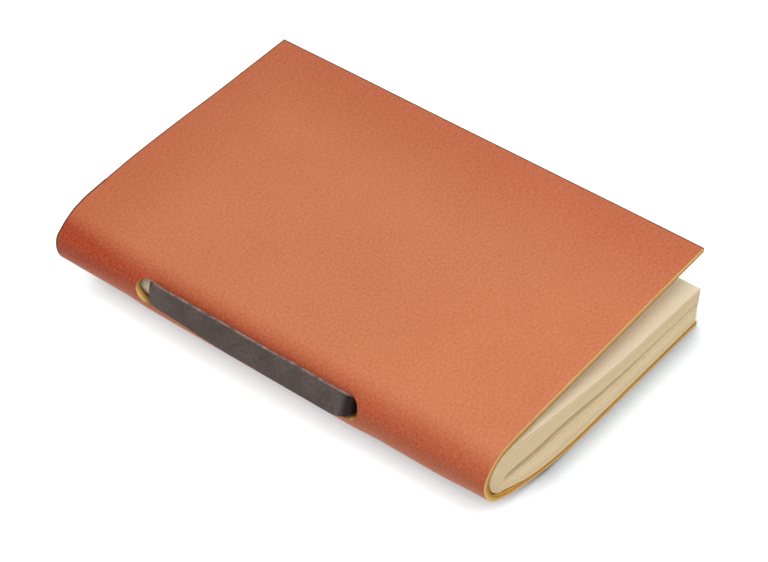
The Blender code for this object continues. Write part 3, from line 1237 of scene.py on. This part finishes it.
    def half_sheet(self, side: Side, number: int) -> bmesh.types.BMesh:
        """Cuts one half of a folded sheet, slits it for the strap and wraps it.

        Args:
            side: which half.
            number: the sheet, counted from the gutter.

        Returns:
            The wrapped slab.
        """
        build = self.build
        luck = Vector((self.luck[0] * number, self.luck[1] * number, self.luck[2]))
        half = build.height / 2 - self.end_jitter
        places = [luck + Vector((step, 0.0, 0.0)) for step in self.luck_ends]
        ends = [half + self.end_jitter * noise.noise(place) for place in places]
        place = luck + Vector((0.0, self.luck_fore, side.value))
        reach = build.page_reach + self.fore_jitter * noise.noise(place)
        if side is Side.LOWER:
            reach += self.fore_growth - self.slant * number / self.sheets
        else:
            reach += self.upper_growth
        steps = round(self.fold_run / self.fold_cell)
        across = [-self.fold_run + step * self.fold_cell for step in range(2 * steps)]
        along = [edge for slit in self.slits for edge in slit]
        slab = flat_grid((-self.fold_run, -ends[0]), (reach, ends[1]), self.cell, across, along)
        slit = [face for face in slab.faces if self.in_slit(side, number, face)]
        bmesh.ops.delete(slab, geom=slit, context='FACES')
        thicken(slab, self.paper)
        mark_slab(slab)
        depth = slab.verts.layers.float["depth"]
        # Painted shade on the cut edges beside the gutter
        for vert in slab.verts:
            vert[depth] = self.painted_gutter_shade(side, number, vert.co.x)
        wrap(slab, lambda point: self.wrap_point(side, number, point))
        return slab

    def dress(self) -> list[bpy.types.Material]:
        """Makes the finishes of the sheets' faces and of their cut edges."""
        face = PAPER_FACE.material()
        return [face, PAPER_CUT.material(), face]

    def build_pieces(self) -> None:
        """Makes a lower and an upper piece of each bundle, which meet along the middle of its fold."""
        build = self.build
        finishes = self.dress()
        each = self.sheets // self.bundles
        for bundle in range(self.bundles):
            numbers = range(bundle * each, (bundle + 1) * each)
            name = bundle + 1
            slabs = [self.half_sheet(Side.LOWER, number) for number in numbers]
            lower = finish_piece(f"lower_sheets_{name}", slabs, finishes)
            slabs = [self.half_sheet(Side.UPPER, number) for number in numbers]
            upper = finish_piece(f"upper_sheets_{name}", slabs, finishes)
            gap = self.opening(0.0, 0.0)
            radius = gap + (build.paper_radius - gap) * (numbers[-1] + 1) / self.sheets
            fold = build.gutter_place(-radius, 0.0, 0.0)
            leaf = build.gutter_place(self.blend_reach, 0.0, 0.0)
            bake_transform(lower, "back", "spine", start=leaf, end=fold)
            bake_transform(upper, "spine", f"upper_{name}", start=fold, end=leaf)
            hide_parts(f"lower_leaves_{name}", f"sheet_fold_{name}")
            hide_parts(f"upper_leaves_{name}")
            self.pieces += [lower, upper]
        for piece in self.pieces:
            LOG.info("paper piece %s", piece.name)


@dataclass
class BindingStrap:
    """A dark strap along the spine, in through both holes, with a run in the gutter inside."""

    build: Build
    upper_half: float = 3.8 * MM
    lower_half: float = 3.0 * MM
    thickness: float = 1.0 * MM
    bend: float = 0.9 * MM
    leg_width: float = 3.2 * MM
    leg_end: float = 0.5 * MM
    head_shift: float = 1.1 * MM
    tail_shift: float = 1.8 * MM
    taper: float = 3.0 * MM
    slim_start: float = 0.45
    slim_end: float = 1.4
    head_slim: float = 1.1 * MM
    head_slim_run: float = 26.0 * MM
    # Painted shade at the ends where the strap goes into its holes
    end_shade_lead: float = 2.0 * MM
    head_shade_start: float = 0.3
    end_shade_full: float = 0.7
    curl: float = 0.3 * MM
    edge_round: float = 0.25 * MM
    cell: float = 0.9 * MM
    bend_cell: float = 0.3 * MM
    bend_margin: float = 1.0 * MM
    wander: float = 0.12 * MM
    wander_along: float = 7.0 * MM
    wander_across: float = 6.0 * MM
    wander_seed: float = 1.7
    run_width: float = 6.0 * MM
    run_back: float = 0.3 * MM
    run_inset: float = 0.2 * MM
    run_lies: float = 6.5 * MM
    run_root: float = 1.6 * MM
    pieces: list[bpy.types.Object] = field(default_factory=list)

    def base(self) -> float:
        """Distance of the outer run's inner face from the hinge line."""
        build = self.build
        return build.spine_rise * sin(build.strap_angle) + build.spine_radius + build.gap

    def stretches(self) -> tuple[float, float, float]:
        """Works out the strap's stretches.

        Returns:
            The lengths of a leg, a bend and the straight run outside.
        """
        build = self.build
        turn = self.bend + self.thickness
        leg = self.base() - self.bend + self.leg_end
        run = build.head_hole - self.head_shift - build.tail_hole + self.tail_shift - 2 * turn
        return leg, turn * pi / 2, run

    def wrap_point(self, point: Vector) -> Vector:
        """Wraps the flat strap along the spine and in through its holes.

        Args:
            point: distance from the strap's middle, place across its width, and height.

        Returns:
            The point's place.
        """
        build = self.build
        leg, corner, run = self.stretches()
        turn = self.bend + self.thickness
        middle = (build.head_hole - self.head_shift + build.tail_hole - self.tail_shift) / 2
        end = 1.0 if point.x > 0.0 else -1.0
        past = abs(point.x) - run / 2
        slim = ease(self.slim_start * corner, self.slim_end * corner, past)
        wide = point.y
        if wide > 0.0:
            wide *= 1.0 + (self.leg_width / 2 / self.upper_half - 1.0) * slim
        else:
            wide *= 1.0 + (self.leg_width / 2 / self.lower_half - 1.0) * ease(-self.taper, corner, past)
            slimmer = ease(run / 2 - self.head_slim_run, run / 2, point.x) * (1.0 - slim)
            wide *= 1.0 - self.head_slim / self.lower_half * slimmer
        shape = Vector((point.x / self.wander_along, point.y / self.wander_across, self.wander_seed))
        height = point.z - self.curl * (point.y / self.upper_half)**2 * (1.0 - slim)
        wide += self.wander * noise.noise(shape) * (1.0 - slim)
        if past <= 0.0:
            out = self.base() + self.thickness + height
            along = middle + point.x
        elif past <= corner:
            angle = past / turn
            out = self.base() - self.bend + (turn + height) * cos(angle)
            along = middle + end * (run / 2 + (turn + height) * sin(angle))
        else:
            out = self.base() - self.bend - (past - corner)
            along = middle + end * (run / 2 + turn + height)
        across = cos(build.strap_angle)
        up = sin(build.strap_angle)
        return build.place(out * across + wide * up, along, out * up - wide * across)

    def outer_run(self) -> bmesh.types.BMesh:
        """Cuts the strap's outer run with both legs, and wraps it."""
        leg, corner, run = self.stretches()
        half = run / 2 + corner + leg
        steps = round((corner + 2 * self.bend_margin) / self.bend_cell)
        across = []
        for step in range(steps + 1):
            place = run / 2 - self.bend_margin + step * self.bend_cell
            across += [place, -place]
        slab = flat_grid((-half, -self.lower_half), (half, self.upper_half), self.cell, across, [])
        thicken(slab, self.thickness)
        ease_edges(slab, self.edge_round, [])
        mark_slab(slab)
        # Painted shade at both ends where they go in through their holes, the tail end from a little before
        # it
        depth = slab.verts.layers.float["depth"]
        for vert in slab.verts:
            tail = ease(run / 2 - self.end_shade_lead, run / 2 + self.end_shade_full * corner, -vert.co.x)
            head = ease(run / 2 + self.head_shade_start * corner, run / 2 + self.end_shade_full * corner, vert.co.x)
            vert[depth] = max(vert[depth], tail, head)
        wrap(slab, self.wrap_point)
        return slab

    def inner_run(self) -> bmesh.types.BMesh:
        """Cuts the run in the gutter, and lays it there."""
        build = self.build
        low = (-self.run_back, build.tail_hole - self.tail_shift + self.run_inset)
        high = (self.run_width - self.run_back, build.head_hole - self.head_shift - self.run_inset)
        slab = flat_grid(low, high, self.cell, [], [])
        thicken(slab, self.thickness)
        ease_edges(slab, self.edge_round, [])
        mark_slab(slab)
        wrap(slab, lambda point: build.gutter_place(point.x, point.y, point.z + self.thickness / 2))
        return slab

    def dress(self) -> list[bpy.types.Material]:
        """Makes the finishes of the strap's faces and its cut edges."""
        grain = STRAP_GRAIN.material()
        return [grain, STRAP_CUT.material(), grain]

    def build_pieces(self) -> None:
        """Makes the outer run, moved by the spine, and the inner run, which lies on the lower page."""
        build = self.build
        finishes = self.dress()
        outer = finish_piece("spine_strap", [self.outer_run()], finishes)
        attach(outer, "spine")
        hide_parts("binding_strap")
        inner = finish_piece("gutter_strap", [self.inner_run()], finishes)
        lies = build.place(self.run_lies, 0.0, 0.0)
        root = build.place(-self.run_root, 0.0, 0.0)
        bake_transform(inner, "back", "spine", start=lies, end=root)
        self.pieces = [outer, inner]
        for piece in self.pieces:
            LOG.info("strap piece %s", piece.name)


@dataclass(frozen=True)
class Softbox:
    """A broad square lamp that looks at the notebook."""

    name: str
    place: tuple[float, float, float]
    size: float
    power: float

    def build_lamp(self) -> None:
        """Hangs the lamp."""
        lamp = bpy.data.lights.new(self.name, 'AREA')
        lamp.shape = 'SQUARE'
        lamp.size = self.size
        lamp.energy = self.power
        hung = bpy.data.objects.new(self.name, lamp)
        hung.visible_camera = False
        hung.location = self.place
        hung.rotation_euler = (-Vector(self.place)).to_track_quat('-Z', 'Y').to_euler()
        bpy.context.scene.collection.objects.link(hung)


@dataclass
class Studio:
    """A white sweep of floor, a soft surround with two broad lamps, and the camera."""

    build: Build
    floor_size: float = 6.0
    floor_drop: float = 0.05 * MM
    # Painted contact shadow on the floor's glow, from ambient occlusion
    contact_reach: float = 12.0 * MM
    contact_samples: int = 8
    spine_shut: float = 0.2
    spine_open: float = 0.5
    spine_glow: float = 0.37
    fore_shut: float = 0.45
    fore_open: float = 0.9
    spine_side: float = -36.0 * MM
    fore_side: float = -18.0 * MM
    floor_glow: float = 0.92
    floor_bounce: str = "#cdcdcd"
    floor_colour: str = "#9da3a6"
    tent_wall: float = 1.2
    tent_top: float = 0.33
    tent_slope: float = 0.6
    lamps: tuple[Softbox, ...] = (
        Softbox("overhead_softbox", place=(-0.02, -0.03, 0.26), size=0.2, power=0.12),
        Softbox("tail_softbox", place=(-0.12, -0.33, 0.7), size=0.35, power=3.35),
    )
    camera_aim: tuple[float, float, float] = (8.526 * MM, -23.52 * MM, 28.13 * MM)
    camera_distance: float = 0.5812
    camera_azimuth: float = radians(-51.718)
    camera_elevation: float = radians(42.904)
    camera_roll: float = radians(0.202)
    camera_lens: float = 121.33
    camera_near: float = 0.01
    sensor: float = 36.0

    def floor_material(self) -> bpy.types.Material:
        """Makes the floor: white where the camera and reflections see it, with the shadow kept and a painted
        contact shadow near the notebook.
        """
        material, tree, shader = new_material("white_paper_sweep")
        rays = add_node(tree, "ShaderNodeLightPath", {}, {})
        seen = add_node(
            tree,
            "ShaderNodeMath",
            {"operation": "MAXIMUM"},
            {0: rays.outputs["Is Camera Ray"], 1: rays.outputs["Is Glossy Ray"]},
        )
        seen = add_node(
            tree,
            "ShaderNodeMath",
            {"operation": "MAXIMUM"},
            {0: seen.outputs["Value"], 1: rays.outputs["Is Transmission Ray"]},
        ).outputs["Value"]
        colour = add_node(
            tree,
            "ShaderNodeMix",
            {"data_type": "RGBA"},
            {0: seen, 6: linear(self.floor_bounce), 7: linear(self.floor_colour)},
        )
        diffuse = add_node(tree, "ShaderNodeBsdfDiffuse", {}, {"Color": colour.outputs[2]})
        # Painted contact shadow: the white glow is darkened by ambient occlusion close to where the notebook
        # lies, more deeply on the fore side than on the spine side
        place = add_node(tree, "ShaderNodeTexCoord", {}, {}).outputs["Object"]
        across = add_node(tree, "ShaderNodeSeparateXYZ", {}, {"Vector": place}).outputs["X"]
        painted_shadow_occlusion = add_node(
            tree,
            "ShaderNodeAmbientOcclusion",
            {"samples": self.contact_samples},
            {"Distance": self.contact_reach},
        )
        spine_glow = add_node(
            tree,
            "ShaderNodeMapRange",
            {},
            {
                "Value": painted_shadow_occlusion.outputs["AO"],
                "From Min": self.spine_shut,
                "From Max": self.spine_open,
                "To Min": self.spine_glow,
                "To Max": self.floor_glow,
            },
        )
        fore_glow = add_node(
            tree,
            "ShaderNodeMapRange",
            {},
            {
                "Value": painted_shadow_occlusion.outputs["AO"],
                "From Min": self.fore_shut,
                "From Max": self.fore_open,
                "To Max": self.floor_glow,
            },
        )
        glow_with_painted_shadow = add_node(
            tree,
            "ShaderNodeMapRange",
            {},
            {
                "Value": across,
                "From Min": self.spine_side,
                "From Max": self.fore_side,
                "To Min": spine_glow.outputs["Result"],
                "To Max": fore_glow.outputs["Result"],
            },
        )
        lift = add_node(
            tree,
            "ShaderNodeMath",
            {"operation": "MULTIPLY"},
            {0: seen, 1: glow_with_painted_shadow.outputs["Result"]},
        )
        white = add_node(tree, "ShaderNodeEmission", {}, {"Strength": lift.outputs["Value"]})
        mixed = add_node(
            tree,
            "ShaderNodeAddShader",
            {},
            {0: diffuse.outputs["BSDF"], 1: white.outputs["Emission"]},
        )
        tree.links.new(mixed.outputs["Shader"], tree.nodes["Material Output"].inputs["Surface"])
        tree.nodes.remove(shader)
        return material

    def build_floor(self) -> None:
        """Lays the floor."""
        plane = bmesh.new()
        bmesh.ops.create_grid(plane, x_segments=1, y_segments=1, size=self.floor_size / 2)
        bmesh.ops.translate(plane, verts=plane.verts[:], vec=(0.0, 0.0, -self.floor_drop))
        mesh = bpy.data.meshes.new("floor")
        plane.to_mesh(mesh)
        plane.free()
        mesh.materials.append(self.floor_material())
        floor = bpy.data.objects.new("floor", mesh)
        bpy.context.scene.collection.objects.link(floor)

    def build_light(self) -> None:
        """Sets the white surround and hangs the lamps."""
        world = bpy.data.worlds.new("white_studio")
        world.use_nodes = True
        bpy.context.scene.world = world
        tree = world.node_tree
        ray = add_node(tree, "ShaderNodeLightPath", {}, {}).outputs["Is Camera Ray"]
        direction = add_node(tree, "ShaderNodeTexCoord", {}, {}).outputs["Generated"]
        height = add_node(tree, "ShaderNodeSeparateXYZ", {}, {"Vector": direction}).outputs["Z"]
        # The walls of a light tent are brighter than its top
        tent = add_node(
            tree,
            "ShaderNodeMapRange",
            {},
            {"Value": height, "From Max": self.tent_slope, "To Min": self.tent_wall, "To Max": self.tent_top},
        )
        strength = add_node(
            tree,
            "ShaderNodeMapRange",
            {},
            {"Value": ray, "To Min": tent.outputs["Result"], "To Max": 1.0},
        )
        background = tree.nodes["Background"]
        background.inputs["Color"].default_value = (1.0, 1.0, 1.0, 1.0)
        tree.links.new(strength.outputs["Result"], background.inputs["Strength"])
        for lamp in self.lamps:
            lamp.build_lamp()

    def build_camera(self) -> None:
        """Puts the camera where the photograph was taken from."""
        scene = bpy.context.scene
        turn = self.camera_azimuth
        rise = self.camera_elevation
        back = Vector((sin(turn) * cos(rise), -cos(turn) * cos(rise), sin(rise)))
        level = Vector((cos(turn), sin(turn), 0.0))
        upright = back.cross(level)
        right = cos(self.camera_roll) * level + sin(self.camera_roll) * upright
        up = back.cross(right)
        lens = bpy.data.cameras.new("camera")
        lens.sensor_width = self.sensor
        lens.lens = self.camera_lens
        lens.clip_start = self.camera_near
        camera = bpy.data.objects.new("camera", lens)
        place = Matrix((right, up, back)).transposed().to_4x4()
        place.translation = self.build.place(*self.camera_aim) + self.camera_distance * back
        camera.matrix_world = place
        scene.collection.objects.link(camera)
        scene.camera = camera
        scene.view_settings.view_transform = 'Standard'

    def build_stage(self) -> None:
        """Makes the floor, the light and the camera."""
        self.build_floor()
        self.build_light()
        self.build_camera()


def main() -> None:
    """Builds the notebook's pieces in order, then the studio."""
    logging.basicConfig(level=logging.INFO, format="%(name)s: %(message)s")
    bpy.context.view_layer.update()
    build = Build.from_frame()
    HideCover(build).build_pieces()
    FoldedSheets(build).build_pieces()
    BindingStrap(build).build_pieces()
    Studio(build).build_stage()
    bpy.context.view_layer.update()


if __name__ == "__main__":
    main()
